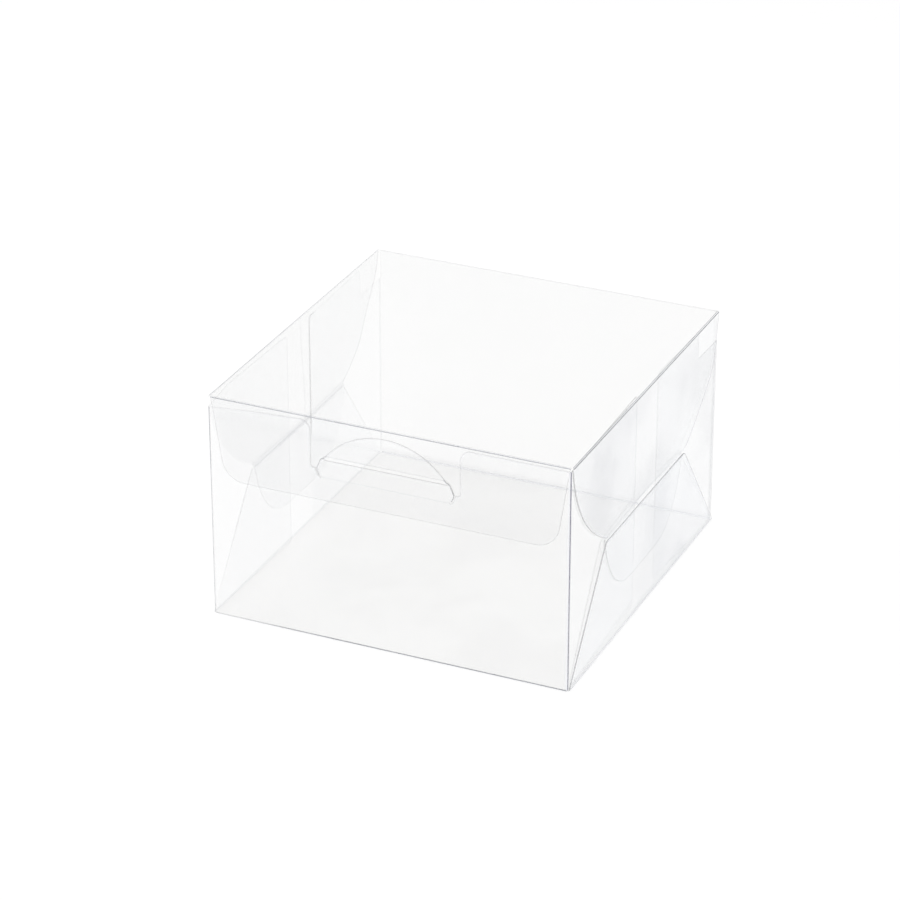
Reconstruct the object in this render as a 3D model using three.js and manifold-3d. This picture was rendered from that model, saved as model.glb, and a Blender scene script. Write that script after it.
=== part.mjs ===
// Clear gift box, cut and creased from one sheet of clear film and folded up.
//
// Millimetres, +Z up. The origin is the middle of the underside, where the box stands.
// The front wall, with the lock, faces -Y. Every panel lies in its own frame: x runs along
// the crease that it hangs from, y runs away from that crease, and z points out of the box,
// so the film lies between z = -film and z = 0. The frames are nested as the sheet is:
// base - front wall - wings, and base - back wall - lid - flaps, each folded by a quarter turn.

import * as THREE from 'three';
import { mergeVertices } from 'three/addons/utils/BufferGeometryUtils.js';
import Module from 'manifold-3d';

const wasm = await Module();
wasm.setup();

// The box over all
const boxWidth = 100;
const boxDepth = 102;
const boxHeight = 62.5;

// The film and its creases
const film = 0.3;
const bendRadius = 0.8;
const bendLap = 0.8;
const creaseSlit = 0.05;
const layerGap = 0.3;
const panelGap = 0.3;
const freeCorner = 1.2;

// Where the upright panels stop under the lid
const rimDrop = 0.8;

// The lid's tuck flap, behind the front wall
const tuckGap = 0.6;
const tuckDepth = 23;
const tuckTaper = 2.9;
const tuckCorner = 6.5;
const tuckInset = 0.6;

// The lock: a recess in the front wall, with a half-moon tongue standing in it
const recessHalfWidth = 20.5;
const recessMouthRadius = 3;
const recessFloorDrop = 13.8;
const recessFloorRadius = 1.2;
const lockCreaseDrop = 16.3;
const lockCreaseHalfWidth = 17.6;
const lockShoulderHalfWidth = 18.9;
const lockNeckHeight = 5.7;
const lockNeckHalfWidth = 16.7;
const halfMoonHeight = 8.4;
const reliefCutWidth = 0.3;
const slotHeight = 1;
const slotEndClearance = 0.5;

// The wings, folded in behind the side flaps
const frontWingLength = 43.5;
const backWingLength = 44;
const wingNotchLength = 13.5;
const wingNotchDrop = 8;

// The side flaps that hang from the lid, and their tongues
const lidFlapDrop = 30.65;
const lidFlapMouth = 49.2;
const lidFlapHem = 27.6;
const lidFlapBulge = 3.5;
const tongueLength = 19.8;
const tongueInset = 0.4;
const tongueSideLean = 1.8;
const tongueSideLength = 8.9;
const tongueShoulderHalfWidth = 20;
const tongueTipHalfWidth = 8;

// The side flaps that rise from the base, outside the tongues
const baseFlapReveal = 0.75;
const baseFlapFoot = 50;
const baseFlapHem = 27.6;

const arcSteps = 6;

// Outer faces of the layers, worked out from the outside in
const flapX = boxWidth / 2;
const tongueX = flapX - film - layerGap;
const wingX = tongueX - film - layerGap;
const wallY = boxDepth / 2;
const tuckY = wallY - film - tuckGap;
const rimZ = boxHeight - rimDrop;
const wallHalfWidth = wingX - bendRadius;
const wallCrease = wallHalfWidth - panelGap;
const wingFoot = film + panelGap;
const sideCrease = lidFlapMouth - panelGap;

const point = (x, y) => new THREE.Vector2(x, y);

/** The points of a fillet of the given radius at corner b, on the way from a to c. */
function fillet(a, b, c, radius) {
  const back = a.clone().sub(b).normalize();
  const ahead = c.clone().sub(b).normalize();
  const half = Math.acos(back.dot(ahead)) / 2;
  const centre = back.clone().add(ahead).normalize().multiplyScalar(radius / Math.sin(half)).add(b);
  const from = back.clone().multiplyScalar(radius / Math.tan(half)).add(b).sub(centre);
  const to = ahead.clone().multiplyScalar(radius / Math.tan(half)).add(b).sub(centre);
  const clockwise = back.cross(ahead) > 0;
  const arc = new THREE.EllipseCurve(centre.x, centre.y, radius, radius, from.angle(), to.angle(), clockwise);
  return arc.getPoints(arcSteps);
}

/** The points of an arc from a to b that stands off its chord, to the right of the way, by rise. */
function bow(a, b, rise, steps = 2 * arcSteps) {
  const chord = b.clone().sub(a);
  const radius = (chord.lengthSq() / 4 + rise * rise) / (2 * rise);
  const right = point(chord.y, -chord.x).normalize();
  const centre = a.clone().add(b).multiplyScalar(0.5).addScaledVector(right, rise - radius);
  const from = a.clone().sub(centre);
  const to = b.clone().sub(centre);
  const arc = new THREE.EllipseCurve(centre.x, centre.y, radius, radius, from.angle(), to.angle(), false);
  return arc.getPoints(steps);
}

/** A closed outline through all the points given, leaving out doubled ones. */
function outline(...stretches) {
  const points = [];
  for (const p of stretches.flat()) {
    if (!points.length || points.at(-1).distanceTo(p) > film / 1000) points.push(p);
  }
  return new THREE.Shape(points);
}

/** The points given, and then the same ones mirrored in x = 0 on the way back. */
function mirrored(points) {
  return [...points, ...points.map((p) => point(-p.x, p.y)).reverse()];
}

/** The flat of a panel: its outline, one film thick, with its outer face at z = 0. */
function plate(shape) {
  const geometry = new THREE.ExtrudeGeometry(shape, { depth: film, bevelEnabled: false });
  return geometry.translate(0, 0, -film);
}

/**
 * Half of the round bend at one crease of a panel. edge is where the crease's outer corner
 * line lies, into is the way from it into the panel, and from and to bound its length.
 */
function halfBend({ edge, into, from, to }) {
  const quarter = Math.PI / 2;
  const end = quarter + quarter / 2 - creaseSlit / (2 * bendRadius);
  const outer = new THREE.EllipseCurve(
    bendRadius, -bendRadius, bendRadius, bendRadius, quarter, end, false);
  const inner = new THREE.EllipseCurve(
    bendRadius, -bendRadius, bendRadius - film, bendRadius - film, end, quarter, true);
  const tail = bendRadius + bendLap;
  const profile = outline(
    point(tail, 0),
    outer.getPoints(arcSteps / 2),
    inner.getPoints(arcSteps / 2),
    point(tail, -film),
  );
  const geometry = new THREE.ExtrudeGeometry(profile, { depth: to - from, bevelEnabled: false });
  const inward = new THREE.Vector3(...into, 0);
  const up = new THREE.Vector3(0, 0, 1);
  const along = inward.clone().cross(up);
  const start = along.x + along.y > 0 ? from : -to;
  const place = inward.clone().multiplyScalar(edge * (into[0] + into[1])).addScaledVector(along, start);
  return geometry.applyMatrix4(new THREE.Matrix4().makeBasis(inward, up, along).setPosition(place));
}

function toSolid(geometry) {
  geometry.deleteAttribute('normal');
  geometry.deleteAttribute('uv');
  const welded = mergeVertices(geometry, film / 10000);
  return new wasm.Manifold(new wasm.Mesh({
    numProp: 3,
    vertProperties: welded.attributes.position.array,
    triVerts: welded.index.array,
  }));
}

function toGeometry(solid) {
  const mesh = solid.getMesh();
  const geometry = new THREE.BufferGeometry();
  geometry.setAttribute('position', new THREE.BufferAttribute(mesh.vertProperties, 3));
  geometry.setIndex(new THREE.BufferAttribute(mesh.triVerts, 1));
  const flat = geometry.toNonIndexed();
  flat.computeVertexNormals();
  return flat;
}

/** A named panel: the flat of its outline joined with the half bends at its creases. */
function panel(name, shape, creases = []) {
  let solid = toSolid(plate(shape));
  for (const crease of creases) solid = solid.add(toSolid(halfBend(crease)));
  const material = new THREE.MeshStandardMaterial({
    color: 0xf4f8fb,
    roughness: 0.06,
    metalness: 0,
    transparent: true,
    opacity: 0.35,
  });
  const mesh = new THREE.Mesh(toGeometry(solid), material);
  mesh.name = name;
  return mesh;
}

/**
 * A frame for the next panel, folded a quarter turn in from its parent at a crease.
 * edge and into say which crease, as for halfBend, and at is the frame's place along it.
 */
function foldFrom(parent, { edge, into, at = 0 }) {
  const frame = new THREE.Group();
  const inward = new THREE.Vector3(...into, 0);
  const away = new THREE.Vector3(0, 0, -1);
  const out = inward.clone().negate();
  const along = away.clone().cross(out);
  const place = into[0] === 0 ? new THREE.Vector3(at, edge, 0) : new THREE.Vector3(edge, at, 0);
  frame.applyMatrix4(new THREE.Matrix4().makeBasis(along, away, out).setPosition(place));
  parent.add(frame);
  return frame;
}

/** A frame that stands in the same plane as its parent's, or behind it by depth. */
function stepFrom(parent, y, depth = 0) {
  const frame = new THREE.Group();
  frame.position.set(0, y, -depth);
  parent.add(frame);
  return frame;
}

const FROM_BELOW = [0, 1];
const FROM_ABOVE = [0, -1];
const FROM_LEFT = [1, 0];
const FROM_RIGHT = [-1, 0];

function rectangle(left, right, bottom, top) {
  return outline(point(left, bottom), point(right, bottom), point(right, top), point(left, top));
}

function basePanel() {
  const halfWidth = flapX - bendRadius;
  const halfDepth = wallY - bendRadius;
  return panel('base_panel', rectangle(-halfWidth, halfWidth, -halfDepth, halfDepth), [
    { edge: wallY, into: FROM_ABOVE, from: -wallCrease, to: wallCrease },
    { edge: -wallY, into: FROM_BELOW, from: -wallCrease, to: wallCrease },
    { edge: flapX, into: FROM_RIGHT, from: -sideCrease, to: sideCrease },
    { edge: -flapX, into: FROM_LEFT, from: -sideCrease, to: sideCrease },
  ]);
}

const lockCreaseZ = boxHeight - lockCreaseDrop;
const recessFloorZ = boxHeight - recessFloorDrop;
const slotZ = lockCreaseZ + lockNeckHeight;

/** The curved cut beside the tongue's crease, from the recess's floor down to the crease. */
function reliefCut(offset) {
  const top = point(lockShoulderHalfWidth + offset, recessFloorZ);
  const foot = point(lockCreaseHalfWidth + offset, lockCreaseZ);
  return bow(foot, top, reliefCutWidth, arcSteps / 2);
}

/** The wall with the lock's recess: a rounded mouth, upright sides and a floor that the tongue fills. */
function frontWall() {
  const floor = point(recessHalfWidth, recessFloorZ);
  const mouth = point(recessHalfWidth, rimZ);
  const rimEnd = point(wallHalfWidth, rimZ);
  const cut = reliefCut(reliefCutWidth);
  const right = [
    ...cut,
    ...fillet(cut.at(-1), floor, mouth, recessFloorRadius),
    ...fillet(floor, mouth, rimEnd, recessMouthRadius),
    rimEnd,
    point(wallHalfWidth, bendRadius),
  ];
  return panel('front_wall', outline(mirrored(right)), [
    { edge: 0, into: FROM_BELOW, from: -wallCrease, to: wallCrease },
    { edge: wingX, into: FROM_RIGHT, from: bendRadius + panelGap, to: rimZ },
    { edge: -wingX, into: FROM_LEFT, from: bendRadius + panelGap, to: rimZ },
  ]);
}

/** The tongue, from its crease up: curved foot, neck tapering to the slot, and a half-moon head. */
function lockTongue() {
  const foot = reliefCut(0).map((p) => point(p.x, p.y - lockCreaseZ));
  const neck = point(lockNeckHalfWidth, lockNeckHeight);
  foot[0].y += creaseSlit;
  const head = bow(neck, point(-neck.x, neck.y), halfMoonHeight, 4 * arcSteps);
  const left = foot.map((p) => point(-p.x, p.y)).reverse();
  return panel('lock_tongue', outline(foot, head, left));
}

function backWall() {
  const notchZ = rimZ - wingNotchDrop;
  return panel('back_wall', rectangle(-wallHalfWidth, wallHalfWidth, bendRadius, boxHeight - bendRadius), [
    { edge: 0, into: FROM_BELOW, from: -wallCrease, to: wallCrease },
    { edge: boxHeight, into: FROM_ABOVE, from: -wallCrease, to: wallCrease },
    { edge: wingX, into: FROM_RIGHT, from: bendRadius + panelGap, to: notchZ },
    { edge: -wingX, into: FROM_LEFT, from: bendRadius + panelGap, to: notchZ },
  ]);
}

/** A wing's crease runs up or down along its x, so rise is +1 or -1. */
function wing(name, rise, length, notchLength, notchDrop) {
  const crown = rimZ - notchDrop;
  const z = (height) => rise * height;
  const foot = point(z(wingFoot), bendRadius);
  const tipLow = point(z(wingFoot), length);
  const tipHigh = point(z(rimZ), length);
  const points = [foot, ...fillet(foot, tipLow, tipHigh, freeCorner)];
  if (notchLength > 0) {
    const step = point(z(rimZ), notchLength);
    const inner = point(z(crown), notchLength);
    const head = point(z(crown), bendRadius);
    points.push(...fillet(tipLow, tipHigh, step, freeCorner));
    points.push(...fillet(tipHigh, step, inner, freeCorner), ...fillet(step, inner, head, freeCorner), head);
  } else {
    const head = point(z(rimZ), bendRadius);
    points.push(...fillet(tipLow, tipHigh, head, freeCorner), head);
  }
  const ends = [z(bendRadius + panelGap), z(crown)].sort((a, b) => a - b);
  return panel(name, outline(points), [
    { edge: 0, into: FROM_BELOW, from: ends[0], to: ends[1] },
  ]);
}

const lidDepth = wallY + tuckY;
const tuckHalfWidth = wingX - film - tuckInset;

function lidPanel() {
  const halfWidth = flapX - bendRadius;
  const tuckCrease = tuckHalfWidth - panelGap;
  return panel('lid_panel', rectangle(-halfWidth, halfWidth, bendRadius, lidDepth - bendRadius), [
    { edge: 0, into: FROM_BELOW, from: -wallCrease, to: wallCrease },
    { edge: lidDepth, into: FROM_ABOVE, from: -tuckCrease, to: tuckCrease },
    { edge: flapX, into: FROM_RIGHT, from: wallY - sideCrease, to: wallY + sideCrease },
    { edge: -flapX, into: FROM_LEFT, from: wallY - sideCrease, to: wallY + sideCrease },
  ]);
}

/** The flap that tucks behind the front wall, with the slot that the lock's tongue is pushed through. */
function tuckFlap() {
  const mouth = point(tuckHalfWidth, bendRadius);
  const hem = point(tuckHalfWidth - tuckTaper, tuckDepth);
  const right = [mouth, ...fillet(mouth, hem, point(0, tuckDepth), tuckCorner)];
  const shape = outline(mirrored(right));
  const slotHalf = lockNeckHalfWidth + slotEndClearance;
  const drop = boxHeight - slotZ;
  const slot = new THREE.Path();
  const radius = slotHeight / 2;
  slot.absarc(slotHalf - radius, drop, radius, -Math.PI / 2, Math.PI / 2, false);
  slot.absarc(radius - slotHalf, drop, radius, Math.PI / 2, 1.5 * Math.PI, false);
  shape.holes.push(new THREE.Path(slot.getPoints(arcSteps)));
  const crease = tuckHalfWidth - panelGap;
  return panel('lid_tuck_flap', shape, [
    { edge: 0, into: FROM_BELOW, from: -crease, to: crease },
  ]);
}

/** Hangs from the lid at one side: its ends sweep in from the lid's corners to the hem. */
function lidSideFlap(name) {
  const mouth = point(lidFlapMouth, bendRadius);
  const hem = point(lidFlapHem, lidFlapDrop);
  const right = bow(mouth, hem, lidFlapBulge);
  return panel(name, outline(mirrored(right)), [
    { edge: 0, into: FROM_BELOW, from: -sideCrease, to: sideCrease },
  ]);
}

/** The rounded tongue below the lid flap's hem, which slips in behind the base flap. */
function sideTongue(name) {
  const top = lidFlapHem - tongueInset;
  const side = new THREE.CubicBezierCurve(
    point(top, 0),
    point(top - tongueSideLean, tongueSideLength),
    point(tongueShoulderHalfWidth, tongueLength),
    point(tongueTipHalfWidth, tongueLength),
  );
  return panel(name, outline(mirrored(side.getPoints(3 * arcSteps))));
}

/** Rises from the base at one side: a trapezium, outside the tongue, up to just under the hem. */
function baseSideFlap(name) {
  const height = boxHeight - lidFlapDrop - baseFlapReveal;
  const foot = point(baseFlapFoot, bendRadius);
  const hem = point(baseFlapHem, height);
  const right = [foot, ...fillet(foot, hem, point(0, height), freeCorner)];
  return panel(name, outline(mirrored(right)), [
    { edge: 0, into: FROM_BELOW, from: -sideCrease, to: sideCrease },
  ]);
}

const sides = [
  { side: 'left', way: -1 },
  { side: 'right', way: 1 },
];

const box = new THREE.Group();

const base = new THREE.Group();
base.rotation.x = Math.PI;
base.add(basePanel());
box.add(base);

const front = foldFrom(base, { edge: wallY, into: FROM_ABOVE });
front.add(frontWall());
stepFrom(front, lockCreaseZ).add(lockTongue());

const back = foldFrom(base, { edge: -wallY, into: FROM_BELOW });
back.add(backWall());

const lid = foldFrom(back, { edge: boxHeight, into: FROM_ABOVE });
lid.add(lidPanel());
foldFrom(lid, { edge: lidDepth, into: FROM_ABOVE }).add(tuckFlap());

for (const { side, way } of sides) {
  const frontCrease = { edge: way * wingX, into: way > 0 ? FROM_RIGHT : FROM_LEFT };
  foldFrom(front, frontCrease).add(wing(`front_wing_${side}`, -way, frontWingLength, 0, 0));

  // The back wall and the lid are seen from behind, so their x runs the other way
  const backCrease = { edge: -way * wingX, into: way > 0 ? FROM_LEFT : FROM_RIGHT };
  foldFrom(back, backCrease).add(
    wing(`back_wing_${side}`, way, backWingLength, wingNotchLength, wingNotchDrop));

  const lidCrease = { edge: -way * flapX, into: way > 0 ? FROM_LEFT : FROM_RIGHT, at: wallY };
  const lidFlap = foldFrom(lid, lidCrease);
  lidFlap.add(lidSideFlap(`lid_side_flap_${side}`));
  stepFrom(lidFlap, lidFlapDrop, film + layerGap).add(sideTongue(`side_tongue_${side}`));

  const baseCrease = { edge: way * flapX, into: way > 0 ? FROM_RIGHT : FROM_LEFT };
  foldFrom(base, baseCrease).add(baseSideFlap(`base_side_flap_${side}`));
}

export default box;
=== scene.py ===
# %% [markdown]
# # A clear folding gift box
# The real box is one sheet of clear film, die-cut, scored along fifteen creases and folded up without
# glue. It is seen from every side at once, because each layer shows the ones behind it. So the lesson
# follows the sheet: flat panels first, then the creases that join them, and then the film itself.

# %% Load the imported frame
import math

import bmesh
import bpy
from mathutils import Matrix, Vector
from mathutils.geometry import interpolate_bezier


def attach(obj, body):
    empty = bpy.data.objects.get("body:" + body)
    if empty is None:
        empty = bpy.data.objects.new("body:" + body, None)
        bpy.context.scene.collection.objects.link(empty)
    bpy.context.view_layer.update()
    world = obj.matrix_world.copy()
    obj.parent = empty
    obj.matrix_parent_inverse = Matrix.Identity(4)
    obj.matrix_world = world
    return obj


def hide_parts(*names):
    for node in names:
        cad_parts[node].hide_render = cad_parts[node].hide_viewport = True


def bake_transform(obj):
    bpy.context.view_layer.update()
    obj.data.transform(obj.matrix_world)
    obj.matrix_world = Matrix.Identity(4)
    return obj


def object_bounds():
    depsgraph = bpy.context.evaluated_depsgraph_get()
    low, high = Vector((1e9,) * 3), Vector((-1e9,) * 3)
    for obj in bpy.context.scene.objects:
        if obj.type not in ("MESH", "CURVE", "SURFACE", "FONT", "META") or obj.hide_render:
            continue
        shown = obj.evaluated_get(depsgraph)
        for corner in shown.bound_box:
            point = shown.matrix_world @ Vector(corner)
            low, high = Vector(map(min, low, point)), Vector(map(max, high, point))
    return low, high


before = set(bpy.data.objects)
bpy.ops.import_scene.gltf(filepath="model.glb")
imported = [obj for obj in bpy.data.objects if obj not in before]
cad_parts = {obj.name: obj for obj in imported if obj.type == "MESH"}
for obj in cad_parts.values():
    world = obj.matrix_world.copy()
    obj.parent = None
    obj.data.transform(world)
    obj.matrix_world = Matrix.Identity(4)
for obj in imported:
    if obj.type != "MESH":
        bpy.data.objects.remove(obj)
cad_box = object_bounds()

# %% [markdown]
# ## Sizes
# The sheet is measured in millimetres, as a die maker would, and turned into metres where a point is
# drawn. Half the box's width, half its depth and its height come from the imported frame, and the layers
# stand off them, each behind another. A seam is the hair's breadth left between a panel and its
# crease, so that no two faces lie in one place.

# %% The sheet's sizes, in millimetres
MM = 0.001
FILM = 0.3
BEND = 0.4
SEAM = 0.02
SAME = SEAM / 4

WIDE, DEEP, HIGH = (round(v / MM, 3) for v in cad_box[1])
WING_X = WIDE - 0.35
WALL_HALF = WING_X - BEND
TUCK_Y = -DEEP + 0.5
TUCK_CREASE = WIDE - 0.8
TONGUE_X = WIDE - 0.6
RIM = HIGH - 0.8
HEM = HIGH / 2 + 0.6
print("box", 2 * WIDE, "x", 2 * DEEP, "x", HIGH, "mm, film", FILM)

# %% [markdown]
# ## Pen, knife and folding bone
# A die-cut panel is an outline before it is anything else, so it is drawn the way a die maker draws
# it: from one point to the next, then closed and filled. One vertex extruded along the outline does
# that. A grid cut down to shape would leave stepped edges where the outline is curved.

# %% Draw an outline and fill it
def put_down():
    """Leaves edit mode with nothing selected."""
    if bpy.context.object and bpy.context.object.mode != "OBJECT":
        bpy.ops.object.mode_set(mode="OBJECT")
    bpy.ops.object.select_all(action="DESELECT")


def pick(sheet, kind, wanted):
    """Selects, in edit mode, the vertices, edges or faces whose middle, in millimetres, is wanted."""
    bpy.ops.mesh.select_all(action="DESELECT")
    mesh = bmesh.from_edit_mesh(sheet.data)
    parts = {"vertices": mesh.verts, "edges": mesh.edges, "faces": mesh.faces}[kind]
    for part in parts:
        corners = [part] if kind == "vertices" else part.verts
        middle = sum((c.co for c in corners), Vector()) / len(corners) / MM
        part.select_set(bool(wanted(middle)))
    bmesh.update_edit_mesh(sheet.data)


def start_point(name, place):
    """A new sheet that is a single point, still in edit mode."""
    put_down()
    bpy.ops.mesh.primitive_plane_add(size=MM, location=(0, 0, 0))
    sheet = bpy.context.object
    sheet.name = sheet.data.name = name
    bpy.ops.object.mode_set(mode="EDIT")
    bpy.ops.mesh.select_all(action="SELECT")
    bpy.ops.mesh.merge(type="CENTER")
    bpy.ops.transform.translate(value=Vector(place) * MM)
    return sheet


def draw_on(points):
    """Extrudes the selected point along the points given."""
    for here, there in zip(points, points[1:]):
        step = (Vector(there) - Vector(here)) * MM
        bpy.ops.mesh.extrude_region_move(TRANSFORM_OT_translate={"value": step})


def face_outward(sheet, outward):
    """Turns the faces of a sheet that is still without thickness so that they look outward."""
    bpy.ops.mesh.select_all(action="SELECT")
    bpy.ops.mesh.normals_make_consistent(inside=False)
    mesh = bmesh.from_edit_mesh(sheet.data)
    if sum((f.normal * f.calc_area() for f in mesh.faces), Vector()).dot(Vector(outward)) < 0:
        bpy.ops.mesh.flip_normals()


def close_up(sheet, loop):
    """Joins the last point of a drawn loop to its first one."""
    ends = [Vector(loop[0]), Vector(loop[-1])]
    pick(sheet, "vertices", lambda p: min((p - e).length for e in ends) < SAME)
    bpy.ops.mesh.edge_face_add()


def cut_panel(name, outline, outward, window=()):
    """A panel cut along its outline, with its outer face towards outward, and perhaps a window in it."""
    sheet = start_point(name, outline[0])
    draw_on(outline)
    close_up(sheet, outline)
    if window:
        bpy.ops.mesh.primitive_plane_add(size=MM, location=(0, 0, 0))
        bpy.ops.mesh.merge(type="CENTER")
        bpy.ops.transform.translate(value=Vector(window[0]) * MM)
        draw_on(window)
        close_up(sheet, window)
    bpy.ops.mesh.select_all(action="SELECT")
    if window:
        bpy.ops.mesh.fill()
    else:
        bpy.ops.mesh.edge_face_add()
    face_outward(sheet, outward)
    return sheet


def round_corners(sheet, corners, radius):
    """Rounds the corners of an outline that lie at the places given."""
    places = [Vector(c) for c in corners]
    pick(sheet, "vertices", lambda p: min((p - c).length for c in places) < SAME)
    bpy.ops.mesh.bevel(offset=radius * MM, segments=7, affect="VERTICES")


def swung(middle, start, end, steps):
    """Points on the way round middle from one arm to the other."""
    sweep = end.angle_signed(start)
    turns = [(math.cos(sweep * k / steps), math.sin(sweep * k / steps)) for k in range(steps + 1)]
    return [middle + Vector((start.x * c - start.y * s, start.x * s + start.y * c)) for c, s in turns]


def arc(a, b, rise, steps):
    """Points of an arc from a to b, in a panel's own two directions, that stands off its chord by rise."""
    a, b = Vector(a), Vector(b)
    right = Vector((b.y - a.y, a.x - b.x)).normalized()
    radius = ((b - a).length_squared / 4 + rise * rise) / (2 * rise)
    middle = (a + b) / 2 + right * (rise - radius)
    return swung(middle, a - middle, b - middle, steps)


def curve(a, handle_a, handle_b, b, steps):
    """Points of a free curve from a to b, in a panel's own two directions."""
    flat = [Vector((p[0], p[1], 0)) for p in (a, handle_a, handle_b, b)]
    return [p.xy for p in interpolate_bezier(*flat, steps + 1)]


# %% [markdown]
# ## Film has two faces and an edge
# Clear film shows itself by its cut edges, which look like thin dark lines. So each panel gets the
# film's real thickness, and its cut edge is kept apart as a finish of its own. Where a panel runs on
# into a crease nothing was cut, so there the edge goes back to plain film.

# %% Give a cut sheet its thickness
DARK_MARGIN, BRIGHT_MARGIN = 0.16, 0.28
BRIGHT_FINISH, DARK_FINISH, RIM_FINISH = 1, 2, 3


def near(value, border):
    """True for a place beside a border that runs on into a crease."""
    return abs(value - border) < DARK_MARGIN + BRIGHT_MARGIN


def mark_margins():
    """Insets the sheet twice in edit mode, so that its cut edge gets a thin margin of painted shade and one
    of painted highlight.
    """
    bpy.ops.mesh.select_all(action="SELECT")
    for finish, width in ((DARK_FINISH, DARK_MARGIN), (BRIGHT_FINISH, BRIGHT_MARGIN)):
        bpy.context.object.active_material_index = finish
        bpy.ops.object.material_slot_assign()
        bpy.ops.mesh.inset(thickness=width * MM, use_boundary=True, use_even_offset=False)
    bpy.context.object.active_material_index = 0
    bpy.ops.object.material_slot_assign()


def give_film(sheet, finishes, runs_on, margins=True, flank=0):
    """Thickens the sheet inward. finishes are the film, its bright and dark margins and its cut edge.

    Beside a crease the cut edge goes back to film, and the margins to the finish that flank names.
    """
    if bpy.context.object.mode != "EDIT":
        bpy.ops.object.mode_set(mode="EDIT")
    sheet.data.materials.clear()
    for finish in finishes:
        sheet.data.materials.append(finish)
    if margins:
        mark_margins()
    put_down()
    bpy.context.view_layer.objects.active = sheet
    sheet.select_set(True)
    film = sheet.modifiers.new("film", "SOLIDIFY")
    film.thickness = FILM * MM
    film.offset = -1
    film.use_rim = True
    film.use_even_offset = not margins
    film.material_offset_rim = RIM_FINISH - DARK_FINISH if margins else RIM_FINISH
    bpy.ops.object.modifier_apply(modifier=film.name)
    for face in sheet.data.polygons:
        if face.material_index and runs_on(face.center / MM):
            face.material_index = 0 if face.material_index == RIM_FINISH else min(face.material_index, flank)


def finish_panel(sheet, body, node, finishes, runs_on, flank=0):
    """Thickness, then the body that the panel moves with and the CAD node that it stands for."""
    give_film(sheet, finishes, runs_on, flank=flank)
    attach(sheet, body)
    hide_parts(node)
    size = tuple(round(d / MM, 2) for d in sheet.dimensions)
    print(f"{sheet.name}: {len(sheet.data.polygons)} faces, {size} mm")


# %% [markdown]
# ## Nodes as arithmetic
# A material is a sum of masks and colours. Written as nodes and links it can't be read, so a socket is
# wrapped here to take part in plain arithmetic, and one method makes every other node.

# %% A socket that can be added and multiplied, and a finish that makes nodes
class Wire:
    """One output of a finish's nodes."""

    def __init__(self, finish, socket):
        self.finish = finish
        self.socket = socket

    def out(self, name):
        return Wire(self.finish, self.socket.node.outputs[name])

    def maths(self, operation, *others):
        return self.finish.node("ShaderNodeMath", {"operation": operation}, dict(enumerate((self, *others))))

    def __add__(self, other):
        return self.maths("ADD", other)

    def __sub__(self, other):
        return self.maths("SUBTRACT", other)

    def __rsub__(self, other):
        return self.finish.node("ShaderNodeMath", {"operation": "SUBTRACT"}, {0: other, 1: self})

    def __mul__(self, other):
        return self.maths("MULTIPLY", other)

    def __truediv__(self, other):
        return self.maths("DIVIDE", other)

    def __abs__(self):
        return self.maths("ABSOLUTE")

    __radd__ = __add__
    __rmul__ = __mul__

    def at_most(self, other):
        return self.maths("MINIMUM", other)

    def at_least(self, other):
        return self.maths("MAXIMUM", other)

    def between(self, low, high):
        """0 below low and 1 above high, with a soft step from one to the other."""
        return self.finish.node(
            "ShaderNodeMapRange",
            {"interpolation_type": "SMOOTHSTEP"},
            {"Value": self, "From Min": low, "From Max": high},
        )


class Finish:
    """A material that is built from nodes."""

    def __init__(self, name):
        self.material = bpy.data.materials.new(name)
        self.material.use_nodes = True
        self.tree = self.material.node_tree
        self.tree.nodes.clear()

    def node(self, kind, settings=None, sockets=None):
        """Any node: settings are its own properties, and sockets its inputs, as values or as wires."""
        made = self.tree.nodes.new(kind)
        for name, value in (settings or {}).items():
            if name == "stops":
                for stop, (place, grey) in zip(made.color_ramp.elements, value):
                    stop.position = place
                    stop.color = (grey, grey, grey, 1)
            else:
                setattr(made, name, value)
        for name, value in (sockets or {}).items():
            if isinstance(value, Wire):
                self.tree.links.new(value.socket, made.inputs[name])
            else:
                made.inputs[name].default_value = value
        return Wire(self, made.outputs[0]) if made.outputs else None

    def tone(self, share, one, other):
        """A colour between one and the other, by share."""
        mix = self.node("ShaderNodeMix", {"data_type": "RGBA"}, {0: share, 6: (*one, 1), 7: (*other, 1)})
        return Wire(self, mix.socket.node.outputs[2])

    def speckle(self, scale, detail=2.0, stretch=(1, 1, 1), shift=(0, 0, 0)):
        """Soft noise over the object, 0 to 1, perhaps drawn out along one direction."""
        place = self.node("ShaderNodeTexCoord").out("Object")
        place = self.node("ShaderNodeMapping", None, {"Vector": place, "Location": shift, "Scale": stretch})
        return self.node("ShaderNodeTexNoise", None, {"Vector": place, "Scale": scale, "Detail": detail})

    def seen(self):
        """1 for what the eye or a mirror sees, and 0 for the light that falls on things."""
        path = self.node("ShaderNodeLightPath")
        return path.at_least(path.out("Is Glossy Ray")).at_least(path.out("Is Transmission Ray"))

    def faded(self, strength, fades):
        """Strength that rises from a least share to the whole; each fade is (axis, from, to, least share)."""
        for axis, start, end, least in fades:
            place = self.node("ShaderNodeTexCoord").out("Object")
            place = self.node("ShaderNodeSeparateXYZ", None, {0: place}).out(axis)
            strength = strength * (least + (1 - least) * place.between(start * MM, end * MM))
        return strength

    def outside(self):
        """1 on the side of a surface that faces the eye."""
        return 1 - self.node("ShaderNodeNewGeometry").out("Backfacing")

    def marked(self, share, clear, solid):
        """Clear film with a solid mark that takes share of the view and throws only a faint shadow."""
        share = share * (0.15 + 0.85 * self.seen())
        return self.done(self.node("ShaderNodeMixShader", None, {0: share, 1: clear, 2: solid}))

    def done(self, shader):
        self.node("ShaderNodeOutputMaterial", None, {"Surface": shader})
        return self.material
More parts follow.
